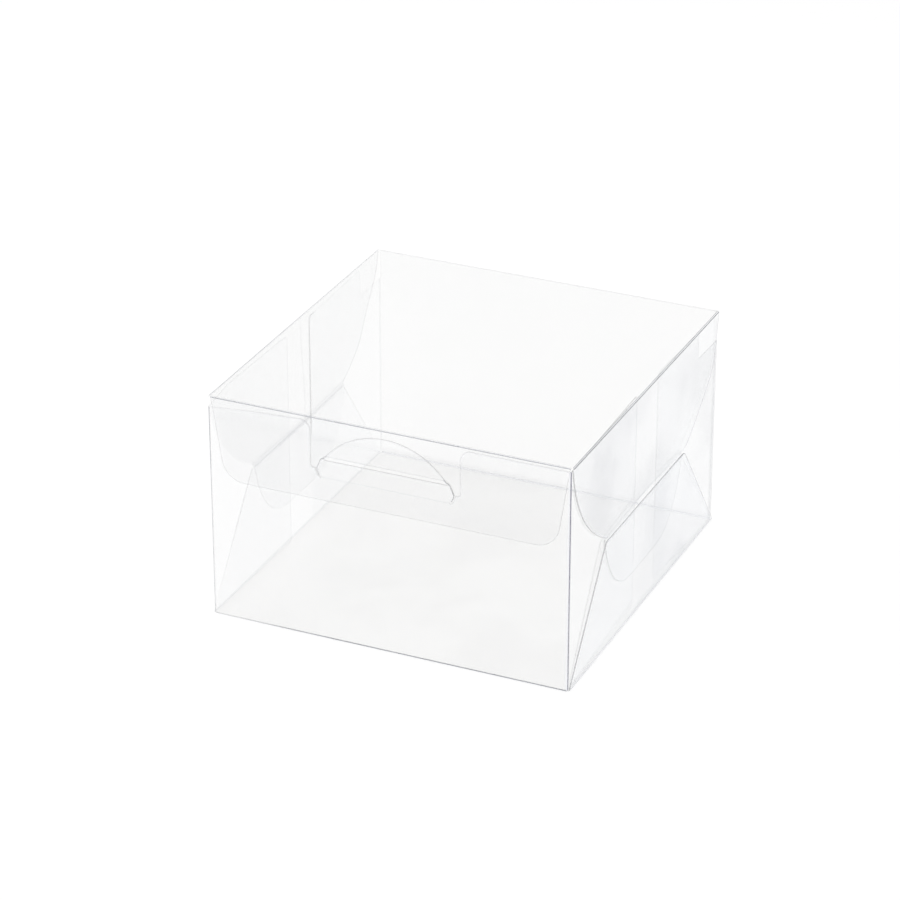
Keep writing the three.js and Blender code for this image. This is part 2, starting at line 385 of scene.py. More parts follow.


# %% [markdown]
# ## The clear film
# Clear film in a bright room is nearly nothing: it takes a few hundredths of the light that passes and
# mirrors a little more the flatter it is looked along. A glass shader would bend the view at every one
# of the many layers and need long light paths, while real film this thin doesn't bend it at all. So
# the film is see-through, mixed with a mirror by the Fresnel law. Only the face towards the eye
# mirrors, with one and a half times its share, which stands for both faces. Lamps pass the film nearly
# whole, so that its shadow is faint.
#
# No two panels of a used box are equally clean, and each kind has a tint of its own. Over that lie
# cloudy patches of painted shade and soft bands of painted shade beside creases, where shade falls
# between panels. Patches and bands are mixed in as grey, because only a mix can vary over the sheet.

# %% Film for each kind of panel
REFRACTION = 1.5
TWO_FACES = 1.5


def clear_film(name, tint, haze, warm=0.0, shade_patches=0.0, fade=(), edges=()):
    """tint is what each face lets through and haze what scuffs make grey; the patches are cloudy painted
    shade, which fade places along the sheet.

    edges are soft bands of painted shade beside a crease: (strength, axis, from, to).
    """
    f = Finish(name)
    waves = f.speckle(38, 2.0, (1, 1, 0.35))
    streaks = f.speckle(260, 3.0, (1, 1, 0.04), (3, 1, 2))
    dust = f.speckle(1500, 1.0, (1, 1, 1), (7, 5, 1)).between(0.7, 0.8)
    height = waves + streaks * 0.05
    normal = f.node("ShaderNodeBump", None, {"Strength": 0.12, "Distance": 0.0006, "Height": height})
    mirror = f.node("ShaderNodeFresnel", None, {"IOR": REFRACTION, "Normal": normal}) * TWO_FACES
    haze_and_shade = haze * (0.4 + 1.2 * waves.between(0.35, 0.7) + 0.4 * streaks.between(0.5, 0.75))
    # Cloudy patches of painted shade, fading along the sheet.
    if shade_patches:
        shade_clouds = f.speckle(34, 3.0, (1, 1, 1), (5, 2, 9)).between(0.38, 0.66)
        haze_and_shade = haze_and_shade + f.faded(shade_patches * (0.3 + 1.3 * shade_clouds), fade)
    # Soft bands of painted shade beside creases.
    for strength, axis, start, end in edges:
        haze_and_shade = haze_and_shade + f.faded(strength * (0.6 + 0.8 * waves), [(axis, start, end, 0.0)])
    seen = f.seen()
    share = (mirror + haze_and_shade + dust * 0.015) * f.outside() * seen + (1 - seen) * 0.006
    grey = (0.4 + 10 * warm, 0.4, 0.43 - 15 * warm)
    tone = f.tone(haze_and_shade / (mirror + haze_and_shade + 0.0001), (0.94, 0.95, 0.96), grey)
    gloss = 0.05 + 0.12 * streaks
    solid = f.node("ShaderNodeBsdfPrincipled", None,
                   {"Base Color": tone, "Metallic": 1.0, "Roughness": gloss, "Normal": normal})
    colour = (tint + warm, tint + warm * 0.5, tint - warm, 1)
    clear = f.node("ShaderNodeBsdfTransparent", None, {"Color": colour})
    return f.done(f.node("ShaderNodeMixShader", None, {0: share.at_most(0.9), 1: clear, 2: solid}))


# The patches and edges given below are painted shade: on the base for the floor beneath it in the box's
# shade, elsewhere for shade where panels lie over one another and beside creases.
LID_FILM = clear_film("film_lid", 0.984, 0.006, warm=0.0018)
BASE_FILM = clear_film("film_base", 0.987, 0.004, warm=0.0012, shade_patches=0.04, fade=[("X", -52, -15, 0.35)],
                       edges=[(0.035, "X", -45.5, -49.5), (0.14, "X", 48.4, 49.5), (0.03, "Y", 48.5, 50.5)])
WALL_FILM = clear_film("film_walls", 0.993, 0.005)
BACK_FILM = clear_film("film_back_wall", 0.993, 0.005, edges=[(0.1, "Z", 2.4, 0.8), (0.3, "X", 48.4, 49.2)])
LOCK_FILM = clear_film("film_lock", 0.999, 0.001)
TUCK_FILM = clear_film("film_tuck_flap", 0.982, 0.008)
TONGUE_FILM = clear_film("film_side_tongues", 0.999, 0.002)
UPPER_FILM = {
    "left": clear_film("film_upper_left", 0.986, 0.008, edges=[(0.08, "Z", 34.2, 32.2)]),
    "right": clear_film("film_upper_right", 0.986, 0.006, warm=-0.001, shade_patches=0.165,
                        fade=[("Y", 40, -18, 0.1)]),
}
LOWER_FILM = {
    "left": clear_film("film_lower_left", 0.998, 0.002, edges=[(0.08, "Z", 28.8, 31.0)]),
    "right": clear_film("film_lower_right", 0.998, 0.002, warm=-0.002, shade_patches=0.1,
                        fade=[("Y", -16, 16, 0.0)], edges=[(0.12, "Z", 1.9, 0.5)]),
}
WING_FILM = {
    "left": clear_film("film_wings_left", 0.998, 0.002),
    "right": clear_film("film_wings_right", 0.999, 0.001, shade_patches=0.1, fade=[("Y", 10, 34, 0.0)]),
}

# %% [markdown]
# ## The cut edge
# Where the die cut through, the film's rim is rough and holds the light, so it shows as a dark
# hairline, painted here as painted shade on the rim and a thin margin. Beside it runs a bright one, a
# painted highlight, where light that is caught in the film comes out. Seen through the film from the
# inside both nearly vanish, so the marks are on the side that faces outward.

# %% Cut edge and its two margins
def marked_film(name, mark, grey, inside=0.12, fade=()):
    """Film with a painted mark on it, shade or highlight: mark is how much of the view it takes, and grey its
    tone.
    """
    f = Finish(name)
    worn = f.speckle(90, 3.0)
    share = mark * (0.7 + 0.6 * worn) * (inside + (1 - inside) * f.outside())
    share = f.faded(share, fade)
    tone = f.tone(worn, tuple(grey * k for k in (0.92, 0.95, 1.06)), (min(grey * 1.25, 1),) * 3)
    solid = f.node("ShaderNodeBsdfPrincipled", None, {"Base Color": tone, "Roughness": 0.35 + 0.2 * worn})
    clear = f.node("ShaderNodeBsdfTransparent", None, {"Color": (0.99, 0.99, 0.99, 1)})
    return f.marked(share, clear, solid)


def cut(name, strength, inside=0.12, fade=(), bright=0.7):
    """The three painted marks of a cut edge: highlight on the bright margin, shade on the dark margin and on
    the rim itself.
    """
    return (marked_film(f"{name}_bright", bright * strength, 0.97, inside, fade),
            marked_film(f"{name}_dark", 0.75 * strength, 0.15, inside, fade),
            marked_film(f"{name}_rim", strength, 0.15, inside, fade))


WALL_CUT = cut("wall_cut", 0.21, fade=[("X", -48, -22, 0.4)], bright=1.0)
TUCK_CUT = cut("tuck_cut", 0.3, bright=0.3)
CLEAR_CUT = cut("clear_cut", 0.75, fade=[("Y", 8, 36, 0.6)])
TONGUE_CUT = cut("tongue_cut", 0.26, bright=0.5)
# The lock's cut marks grow stronger below the slot, at the neck: partly where its edges and the slot's lie
# together, partly painted shade.
LOCK_CUT = cut("lock_cut", 0.62, fade=[("Z", 53.5, 51.5, 0.42)], bright=0.4)
FRONT_WING_CUT = cut("front_wing_cut", 0.34, fade=[("Z", 8, 26, 0.3)])
BACK_WING_CUT = cut("back_wing_cut", 0.32, fade=[("Z", 8, 26, 0.3), ("Y", 24, 36, 0.4)])
LEFT_WING_CUT = cut("left_wing_cut", 0.3, inside=0.5, fade=[("Y", 9, 6, 0.08), ("Z", 24, 31, 0.0)])
LEFT_UPPER_CUT = cut("left_upper_cut", 0.22, inside=0.5, fade=[("Y", 5, 35, 0.06)])
LEFT_LOWER_CUT = cut("left_lower_cut", 0.2, inside=0.4, fade=[("Z", 0, 24, 0.1), ("Z", 31.1, 29.5, 0.55)])
FAINT_CUT = cut("faint_cut", 0.08)

# %% [markdown]
# ## The score lines
# A crease in film is pressed from one side and then bent. It shows as dark lines along the bend, where
# the view through the film is bent away, with bright film between and beside them; both are painted,
# the lines as painted shade and the bright film as a painted highlight. The piece carries how far round
# the bend each point is, so that the lines follow the bend at every pose. Each line's painted shade may
# fade along its length.

# %% Scored film
def scored_film(name, dark, bright=(), inside=0.12, fade=(), seed=0.0, ink=(0.15, 0.16, 0.2)):
    """dark and bright are bands across the bend, of painted shade and painted highlight: (place, half width,
    strength).
    """
    f = Finish(name)
    across = f.node("ShaderNodeAttribute", {"attribute_name": "across"}).out("Fac")
    wander = f.speckle(60, 3.0, (1, 1, 1), (seed, 2 * seed, 0))

    def band(place, half, strength):
        return strength * (1 - abs(across - place).between(half * 0.5, half * 1.3))

    line = sum((band(*b) for b in dark[1:]), band(*dark[0])).at_most(0.95) * (0.75 + 0.5 * wander)
    line = f.faded(line, fade)
    # The bright bands across the bend are a painted highlight.
    bend_highlight = sum((band(*b) for b in bright[1:]), band(*bright[0])) if bright else line * 0
    share = (line + bend_highlight).at_most(0.95) * (inside + (1 - inside) * f.outside())
    tone = f.tone(bend_highlight / (line + bend_highlight + 0.0001), ink, (0.93, 0.95, 1.0))
    solid = f.node("ShaderNodeBsdfPrincipled", None, {"Base Color": tone, "Roughness": 0.15 + 0.2 * wander})
    clear = f.node("ShaderNodeBsdfTransparent", None, {"Color": (0.988, 0.99, 0.992, 1)})
    return f.marked(share, clear, solid)


LID_FRONT_SCORE = scored_film("score_lid_front", [(0.15, 0.12, 0.3), (0.75, 0.2, 0.6)], [(0.45, 0.15, 0.3)])
LID_RIGHT_SCORE = scored_film("score_lid_right", [(0.08, 0.16, 0.75), (0.85, 0.24, 0.95)],
                              [(0.45, 0.15, 0.6)], seed=1, ink=(0.13, 0.13, 0.14))
LID_LEFT_SCORE = scored_film("score_lid_left", [(0.12, 0.18, 0.8), (0.52, 0.2, 1.0)], [(0.32, 0.06, 0.4)],
                             seed=8, fade=[("Y", 50, -20, 0.5)])
LID_REAR_SCORE = scored_film("score_lid_rear", [(0.4, 0.3, 0.18)], seed=9)
CORNER_SCORE = scored_film("score_corner", [(0.5, 0.3, 0.82)], [(0.05, 0.1, 0.6), (0.95, 0.1, 0.6)],
                           seed=2, ink=(0.14, 0.135, 0.21), fade=[("Z", 0, 60, 0.8)])
LEFT_CORNER_SCORE = scored_film("score_left_corner", [(0.45, 0.4, 0.85)], seed=10, fade=[("Z", 30, 60, 0.55)])
BASE_FRONT_SCORE = scored_film("score_base_front", [(0.65, 0.55, 1.2)], seed=3, fade=[("X", -52, -15, 0.3)])
BASE_SIDE_SCORE = scored_film("score_base_side", [(0.68, 0.16, 0.85), (0.98, 0.12, 0.7)], [(0.84, 0.06, 0.4)],
                              seed=4, fade=[("Y", -25, -48, 0.6)])
LEFT_FOOT_SCORE = scored_film("score_left_foot", [(0.5, 0.3, 0.15)], inside=0.2, seed=11)
REAR_FOOT_SCORE = scored_film("score_rear_foot", [(0.95, 0.2, 0.4)], [(0.45, 0.3, 0.6)],
                              inside=0.6, seed=5, fade=[("X", -45, 20, 0.4)])
REAR_CORNER_SCORE = scored_film("score_rear_corner", [(0.9, 0.3, 1.0)], inside=0.05, seed=12,
                                ink=(0.05, 0.05, 0.07))
REAR_LEFT_SCORE = scored_film("score_rear_left", [(0.5, 0.55, 0.05)], seed=14)
JOG_SCORE = scored_film("score_side_tongue", [(0.25, 0.16, 0.45)], [(0.6, 0.15, 0.3)], seed=6)
LEFT_JOG_SCORE = scored_film("score_left_tongue", [(0.5, 0.5, 0.1)], inside=0.5, seed=13,
                             ink=(0.15, 0.14, 0.2))
LOCK_SCORE = scored_film("score_lock", [(0.5, 0.2, 0.05)], [(0.2, 0.1, 0.05)], seed=7)

# %% [markdown]
# ## The base and the lid
# Two plain rectangles, one above the other. Each side runs on into a crease, and only the short
# stretch beside each corner is cut. That stretch is shorter than the margins are wide, so the whole
# edge counts as crease.

# %% Base and lid
def on_lid(x, y):
    return (x, y, HIGH)


def on_base(x, y):
    return (x, y, 0)


def rectangle(place, half, low, high):
    return [place(half, low), place(half, high), place(-half, high), place(-half, low)]


flat_x = WIDE - BEND - SEAM
base_y = DEEP - BEND - SEAM
lid_front = TUCK_Y + BEND + SEAM

base = cut_panel("base", rectangle(on_base, flat_x, -base_y, base_y), (0, 0, -1))
finish_panel(base, "base", "base_panel", (BASE_FILM, *FAINT_CUT), lambda p: True)

lid = cut_panel("lid", rectangle(on_lid, flat_x, lid_front, base_y), (0, 0, 1))
finish_panel(lid, "lid", "lid_panel", (LID_FILM, *FAINT_CUT), lambda p: True)

# %% [markdown]
# ## The front wall and its lock
# The wall's rim carries the recess of the lock. Its mouth and its floor have rounded corners, and from
# the floor a short curved cut runs down on each side to the crease that the tongue stands on. The
# corners are drawn sharp and then rounded by a vertex bevel, as a die maker rounds a knife. The rim
# drops a little towards the left corner, where the real sheet was pulled down in folding. Beside its
# upright creases the film carries a white band of painted highlight, which is a finish of its own.

# %% Front wall
LOCK_MIDDLE = -0.5
LOCK_CREASE_Z = 46.2
LOCK_CREASE_HALF = 17.6
RECESS_FLOOR = 48.7
RECESS_HALF = 20.5
SHOULDER_HALF = 18.9
CUT, CUT_BULGE = 0.3, 0.3
MOUTH_RADIUS, FLOOR_RADIUS = 3.0, 0.8
LEFT_MOUTH = 61.6
LEFT_RIM = [(-37.7, 60.8), (-43.4, 60.3)]
LEFT_RIM_END = 59.8
FLANK_TOP = RIM - 0.5
wall_x = WALL_HALF - SEAM


def on_front(x, z):
    return (x, -DEEP, z)


def relief(offset):
    """Points of the short curved cut from the lock's crease up to the recess's floor."""
    low, high = (LOCK_CREASE_HALF + offset, LOCK_CREASE_Z), (SHOULDER_HALF + offset, RECESS_FLOOR)
    return arc(low, high, CUT_BULGE, 4)


recess = [(RECESS_HALF, RECESS_FLOOR), *reversed(relief(CUT)), (LOCK_CREASE_HALF, LOCK_CREASE_Z)]
recess = [(LOCK_MIDDLE + x, z) for x, z in recess] + [(LOCK_MIDDLE - x, z) for x, z in reversed(recess)]
right_mouth, left_mouth = (LOCK_MIDDLE + RECESS_HALF, RIM), (LOCK_MIDDLE - RECESS_HALF, LEFT_MOUTH)
wall_outline = [(wall_x, BEND + SEAM), (wall_x, RIM), right_mouth, *recess, left_mouth,
                *LEFT_RIM, (-wall_x, LEFT_RIM_END), (-wall_x, BEND + SEAM)]
front_wall = cut_panel("wall_front", [on_front(x, z) for x, z in wall_outline], (0, -1, 0))
round_corners(front_wall, [on_front(*right_mouth), on_front(*left_mouth)], MOUTH_RADIUS)
round_corners(front_wall, [on_front(*recess[0]), on_front(*recess[-1])], FLOOR_RADIUS)


def front_runs_on(p):
    at_lock = abs(p.x - LOCK_MIDDLE) < LOCK_CREASE_HALF and near(p.z, LOCK_CREASE_Z)
    return near(p.z, BEND + SEAM) or near(abs(p.x), wall_x) or at_lock


finish_panel(front_wall, "front", "front_wall", (WALL_FILM, *WALL_CUT), front_runs_on)
# A white band of painted highlight beside the wall's upright creases.
front_wall.data.materials.append(marked_film("flank_highlight", 0.5, 1.0))
for face in front_wall.data.polygons:
    if near(face.center.x / MM, wall_x) and face.center.z / MM < FLANK_TOP:
        face.material_index = RIM_FINISH + 1

# %% [markdown]
# ## The half-moon tongue
# It stands in the recess on its own crease: a foot that curves out along the relief cuts, a neck that
# narrows up to the slot, and the half-moon above. Its outline is two arcs and two straight sides.

# %% Lock tongue
LOCK_STRIP = 0.3
FOOT_OVER = 0.05
NECK, MOON, MOON_RISE = (17.8, 51.3), (16.7, 51.9), 8.4
foot_z = LOCK_CREASE_Z + LOCK_STRIP + SEAM
tongue_side = [(LOCK_CREASE_HALF + FOOT_OVER, foot_z), *[tuple(p) for p in relief(0)[1:]], NECK, MOON]
moon = [tuple(p) for p in arc(MOON, (-MOON[0], MOON[1]), MOON_RISE, 40)][1:-1]
tongue_outline = tongue_side + moon + [(-x, z) for x, z in reversed(tongue_side)]
lock_tongue = cut_panel("half_moon", [on_front(LOCK_MIDDLE + x, z) for x, z in tongue_outline], (0, -1, 0))
finish_panel(lock_tongue, "lock", "lock_tongue", (LOCK_FILM, *LOCK_CUT), lambda p: near(p.z, foot_z))

# %% [markdown]
# ## The tuck flap
# It hangs behind the front wall and has two rounded corners and the slot that the tongue is pushed
# through. A window inside an outline can't be one face, so the two loops are drawn and filled between.

# %% Tuck flap
def on_tuck(x, z):
    return (x, TUCK_Y, z)


SLOT_HALF, SLOT_Z, SLOT_TALL = 17.2, 51.45, 1.0
FLAP_MOUTH, FLAP_HEM_HALF, FLAP_HEM, FLAP_CORNER = 49.1, 45.6, 39.5, 6.5
mouth_z = HIGH - BEND - SEAM


def rounded(a, corner, b, radius, steps):
    """Points of a round corner of a radius, on the way from a to b."""
    a, corner, b = Vector(a), Vector(corner), Vector(b)
    back, ahead = (a - corner).normalized(), (b - corner).normalized()
    half = back.angle(ahead) / 2
    middle = corner + (back + ahead).normalized() * radius / math.sin(half)
    start = corner + back * radius / math.tan(half) - middle
    end = corner + ahead * radius / math.tan(half) - middle
    return [tuple(p) for p in swung(middle, start, end, steps)]


flap_side = [(FLAP_MOUTH, mouth_z),
             *rounded((FLAP_MOUTH, mouth_z), (FLAP_HEM_HALF, FLAP_HEM), (0, FLAP_HEM), FLAP_CORNER, 14)]
flap_outline = flap_side + [(-x, z) for x, z in reversed(flap_side)]
half_slot = SLOT_TALL / 2
round_end = [(SLOT_HALF - half_slot + half_slot * math.cos(t), SLOT_Z + half_slot * math.sin(t))
             for t in (math.pi * (k / 8 - 0.5) for k in range(9))]
slot = [(LOCK_MIDDLE + x, z) for x, z in round_end + [(-x, 2 * SLOT_Z - z) for x, z in round_end]]
tuck_flap = cut_panel("tuck_flap", [on_tuck(x, z) for x, z in flap_outline], (0, -1, 0),
                      [on_tuck(x, z) for x, z in slot])
finish_panel(tuck_flap, "tuck", "lid_tuck_flap", (TUCK_FILM, *TUCK_CUT),
             lambda p: near(p.z, mouth_z))

# %% [markdown]
# ## The back wall
# A plain rectangle with a crease on all four sides. Its side creases stop early, at the wings' notch.

# %% Back wall
def on_back(x, z):
    return (x, DEEP, z)


NOTCH_Z = 53.7
back_half = [(wall_x, BEND + SEAM), (wall_x, NOTCH_Z), (wall_x, mouth_z)]
back_outline = back_half + [(-x, z) for x, z in reversed(back_half)]
back_wall = cut_panel("wall_back", [on_back(x, z) for x, z in back_outline], (0, 1, 0))


def back_runs_on(p):
    return near(p.z, BEND + SEAM) or near(p.z, mouth_z) or near(abs(p.x), wall_x) and p.z < NOTCH_Z


finish_panel(back_wall, "back", "back_wall", (BACK_FILM, *FAINT_CUT), back_runs_on)

# %% [markdown]
# ## The wings
# Each wall carries a wing at either end, folded in behind the side flaps to stiffen the corner. The
# free end leans in by a millimetre, because the side flap's tongue pushes on it.

# %% Wings
WING_FOOT = 0.6
FREE_CORNER = 1.2
WING_REACH = 43
WING_TIP_X = 48.6
LEAN = math.asin((WING_X - WING_TIP_X) / WING_REACH)
NOTCH = 13.5
TOP_SLOPE = 10


def wing(node, body, side, end, wall, crown, cut_marks, notch=0.0):
    """A wing at one side; end is where it stops along y, and wall is -1 at the front and 1 at the back.

    crown is its height at the crease, and notch how far a notch at its top runs in from the corner.
    """
    crease_y = wall * (DEEP - BEND - SEAM)

    def on_wing(y, z):
        return (side * WING_X, y, z)

    free = [(end, WING_FOOT), (end, RIM)]
    if notch:
        step = wall * (DEEP - notch)
        outline = [(crease_y, WING_FOOT), *free, (step, RIM), (step, crown), (crease_y, crown)]
        soft = [*free, (step, RIM), (step, crown)]
    else:
        outline = [(crease_y, WING_FOOT), *free, (crease_y - wall * TOP_SLOPE, RIM), (crease_y, crown)]
        soft = free
    sheet = cut_panel(body, [on_wing(y, z) for y, z in outline], (side, 0, 0))
    round_corners(sheet, [on_wing(y, z) for y, z in soft], FREE_CORNER)
    bpy.ops.mesh.select_all(action="SELECT")
    bpy.ops.transform.rotate(value=side * wall * LEAN, orient_axis="Z",
                             center_override=(side * WING_X * MM, crease_y * MM, 0))
    finish_panel(sheet, body, node, (WING_FILM["left" if side < 0 else "right"], *cut_marks),
                 lambda p: near(p.y, crease_y), flank=BRIGHT_FINISH)
    return sheet


wing("front_wing_left", "wing_front_left", -1, -8.5, -1, LEFT_RIM_END, FAINT_CUT)
wing("front_wing_right", "wing_front_right", 1, -4.5, -1, RIM, FRONT_WING_CUT)
wing("back_wing_left", "wing_back_left", -1, 4.5, 1, NOTCH_Z, LEFT_WING_CUT, NOTCH)
back_wing = wing("back_wing_right", "wing_back_right", 1, 10.0, 1, NOTCH_Z, BACK_WING_CUT, NOTCH)
print("the back wing leans in to x:", round(min(v.co.x for v in back_wing.data.vertices) / MM, 2))

# %% [markdown]
# ## The side flaps of the lid
# Each hangs from the lid and sweeps in from its corners to a narrow hem. The film isn't flat there:
# the tongue below is pushed in behind the base flap, and pulls the hem's middle inward. A grid of
# rungs can follow that, so the flap is drawn as its top line, extruded down rung by rung and widened
# or narrowed at each, and then its hem's middle is pulled in with proportional editing. The real
# flaps hang a little askew, so a second pull moves the rear shoulder, outward on the right and inward
# on the left.

# %% Lid side flaps
JOG = 0.4
SIDE_CURVE = [(50.7, mouth_z), (48.9, 50.5), (41.5, 39.5), (27.6, HEM + JOG + SEAM)]
HEM_CREASE = 27.0
PULL_IN, PULL_REACH = 0.5, 29.0
SHOULDER, ASKEW, ASKEW_REACH = (46.0, 47.0), 2.0, 13.0
ACROSS_CUTS = 15


def ladder(name, side, x, widths):
    """A sheet at one side, extruded down from its top line, rung by rung, to each (half width, z)."""
    half, z = widths[0]
    sheet = start_point(name, (side * x, -half, z))
    draw_on([(side * x, -half, z), (side * x, half, z)])
    bpy.ops.mesh.select_all(action="SELECT")
    bpy.ops.mesh.subdivide(number_cuts=ACROSS_CUTS)
    for (half, z), (next_half, next_z) in zip(widths, widths[1:]):
        middle = (side * x * MM, 0, next_z * MM)
        bpy.ops.mesh.extrude_region_move(TRANSFORM_OT_translate={"value": (0, 0, (next_z - z) * MM)})
        bpy.ops.transform.resize(value=(1, next_half / half, 1), center_override=middle)
    face_outward(sheet, (side, 0, 0))
    return sheet


def pull(sheet, place, move, reach):
    """Pulls one point of the sheet, and what is near it with it."""
    aim = Vector(place)
    mesh = bmesh.from_edit_mesh(sheet.data)
    closest = min(mesh.verts, key=lambda v: (v.co / MM - aim).length)
    spot = closest.co / MM
    pick(sheet, "vertices", lambda p: (p - spot).length < SAME)
    bpy.ops.transform.translate(value=Vector(move) * MM, use_proportional_edit=True,
                                proportional_edit_falloff="SMOOTH", proportional_size=reach * MM)


for side, word in ((-1, "left"), (1, "right")):
    rungs = [tuple(p) for p in curve(*SIDE_CURVE, 18)]
    flap = ladder(f"lid_flap_{word}", side, WIDE, rungs)
    pull(flap, (side * WIDE, 0, HEM), (-side * PULL_IN, 0, 0), PULL_REACH)
    pull(flap, (side * WIDE, *SHOULDER), (0, side * ASKEW, 0), ASKEW_REACH)
    finish_panel(flap, f"lid_flap_{word}", f"lid_side_flap_{word}",
                 (UPPER_FILM[word], *(LEFT_UPPER_CUT if side < 0 else CLEAR_CUT)),
                 lambda p: near(p.z, mouth_z) or near(p.z, HEM + JOG + SEAM) and abs(p.y) < HEM_CREASE)

# %% [markdown]
# ## The side tongues
# Below the hem the film steps in by its own thickness and a little air and goes on as a rounded
# tongue behind the base flap. Its side is one free curve, the same on both sides. The last rung but
# one is left out, because it would lie closer to the tip than the edge's margins are wide.

# %% Side tongues
tongue_top = HEM - JOG - SEAM
TONGUE_HALF = 27.2
TONGUE_CURVE = [(TONGUE_HALF, tongue_top), (25.4, HEM - 8.9), (20.0, HEM - 19.8), (8.0, HEM - 19.8)]

for side, word in ((-1, "left"), (1, "right")):
    rungs = [tuple(p) for p in curve(*TONGUE_CURVE, 16)]
    tongue = ladder(f"tongue_{word}", side, TONGUE_X, rungs[:-2] + rungs[-1:])
    pull(tongue, (side * TONGUE_X, 0, HEM), (-side * PULL_IN, 0, 0), PULL_REACH)
    finish_panel(tongue, f"tongue_{word}", f"side_tongue_{word}",
                 (TONGUE_FILM, *(FAINT_CUT if side < 0 else TONGUE_CUT)),
                 lambda p: near(p.z, tongue_top))

# %% [markdown]
# ## The side flaps of the base
# A trapezium that rises in front of the tongue to just under the lid flap's hem.

# %% Base side flaps
BASE_HEM, BASE_HEM_HALF, BASE_FOOT_HALF, BASE_CORNER = 31.1, 27.6, 50.8, 1.0

for side, word in ((-1, "left"), (1, "right")):
    side_line = [(BASE_FOOT_HALF, BEND + SEAM), (BASE_HEM_HALF, BASE_HEM)]
    outline = side_line + [(-y, z) for y, z in reversed(side_line)]
    flap = cut_panel(f"base_flap_{word}", [(side * WIDE, y, z) for y, z in outline], (side, 0, 0))
    round_corners(flap, [(side * WIDE, y, BASE_HEM) for y in (BASE_HEM_HALF, -BASE_HEM_HALF)], BASE_CORNER)
    finish_panel(flap, f"base_flap_{word}", f"base_side_flap_{word}",
                 (LOWER_FILM[word], *(LEFT_LOWER_CUT if side < 0 else CLEAR_CUT)),
                 lambda p: near(p.z, BEND + SEAM), flank=DARK_FINISH if side > 0 else 0)

# %% [markdown]
# ## The creases
# A crease is a quarter bend between two flats. A line drawn where the first flat ends is spun round
# the bend's middle line to where the next one starts.

# %% Bends
BEND_STEPS = 10
ALONG_CUTS = 7
SMOOTH_BELOW = math.radians(35)


def mark_across(strip, share):
    """Writes on each point how far across the crease it is, from 0 to 1."""
    across = strip.data.attributes.new("across", "FLOAT", "POINT")
    for point, value in zip(strip.data.vertices, across.data):
        value.value = share(point.co / MM)


def bend(name, score, first, second, middle, ends):
    """A quarter bend from first to second round middle; ends are the two places along the crease."""
    low, high = (Vector(e) for e in ends)
    first, second, middle = Vector(first), Vector(second), Vector(middle)
    axis = (second - middle).cross(first - middle).normalized()
    strip = start_point(name, first + low)
    draw_on([first + low, first + high])
    bpy.ops.mesh.select_all(action="SELECT")
    bpy.ops.mesh.subdivide(number_cuts=ALONG_CUTS)
    bpy.ops.mesh.spin(steps=BEND_STEPS, angle=math.pi / 2, center=middle * MM, axis=axis)
    face_outward(strip, (first + second) / 2 - middle)
    here, there = first - middle, second - middle

    def at_panel(p):
        return min(abs((p - middle).dot(here)), abs((p - middle).dot(there))) < SEAM * SEAM

    def share(p):
        arm = p - middle
        arm -= axis * arm.dot(axis)
        return here.angle(arm) / (math.pi / 2)

    give_film(strip, (score, score, score, FAINT_CUT[2]), at_panel, margins=False)
    mark_across(strip, share)
    bpy.ops.object.shade_smooth_by_angle(angle=SMOOTH_BELOW)
    inward = (second - first) * (FILM / BEND / 2)
    spot = (low + high) / 2
    (first + inward + spot) * MM
    (second - inward + spot) * MM
    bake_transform(strip)
    reach = max((v.co / MM - second - low).length for v in strip.data.vertices)
    print(f"{name}: {len(strip.data.polygons)} faces, reaches {reach:.1f} mm")


def along_x(half):
    return ((-half, 0, 0), (half, 0, 0))


def along_y(low, high):
    return ((0, low, 0), (0, high, 0))


def along_z(low, high):
    return ((0, 0, low), (0, 0, high))


in_y, in_x, in_z, tuck_in = DEEP - BEND, WIDE - BEND, HIGH - BEND, TUCK_Y + BEND
bend("crease_base_front", BASE_FRONT_SCORE,
     (0, -in_y, 0), (0, -DEEP, BEND), (0, -in_y, BEND), along_x(WALL_HALF))
bend("crease_base_back", REAR_FOOT_SCORE,
     (0, in_y, 0), (0, DEEP, BEND), (0, in_y, BEND), along_x(WALL_HALF))
bend("crease_back_lid", LID_REAR_SCORE,
     (0, DEEP, in_z), (0, in_y, HIGH), (0, in_y, in_z), along_x(WALL_HALF))
bend("crease_lid_tuck", LID_FRONT_SCORE,
     (0, tuck_in, HIGH), (0, TUCK_Y, in_z), (0, tuck_in, in_z), along_x(TUCK_CREASE))
for side, word, foot_score, lid_score, front_score, back_score, rim in (
        (-1, "left", LEFT_FOOT_SCORE, LID_LEFT_SCORE, LEFT_CORNER_SCORE, REAR_LEFT_SCORE, LEFT_RIM_END),
        (1, "right", BASE_SIDE_SCORE, LID_RIGHT_SCORE, CORNER_SCORE, REAR_CORNER_SCORE, RIM)):
    wing_in = side * WALL_HALF
    bend(f"crease_base_side_{word}", foot_score,
         (side * in_x, 0, 0), (side * WIDE, 0, BEND), (side * in_x, 0, BEND), along_y(-in_y, in_y))
    bend(f"crease_lid_side_{word}", lid_score,
         (side * in_x, 0, HIGH), (side * WIDE, 0, in_z), (side * in_x, 0, in_z), along_y(tuck_in, in_y))
    bend(f"crease_front_wing_{word}", front_score,
         (wing_in, -DEEP, 0), (side * WING_X, -in_y, 0), (wing_in, -in_y, 0), along_z(BEND, rim))
    bend(f"crease_back_wing_{word}", back_score,
         (wing_in, DEEP, 0), (side * WING_X, in_y, 0), (wing_in, in_y, 0), along_z(BEND, NOTCH_Z))

# %% [markdown]
# ## The creases without a quarter turn
# Between a lid flap and its tongue the film steps in behind the base flap, in a soft S. The lock's
# crease is only scored, and flat while the tongue stands straight.

# %% Jogs and the lock's crease
JOG_STEPS = 8


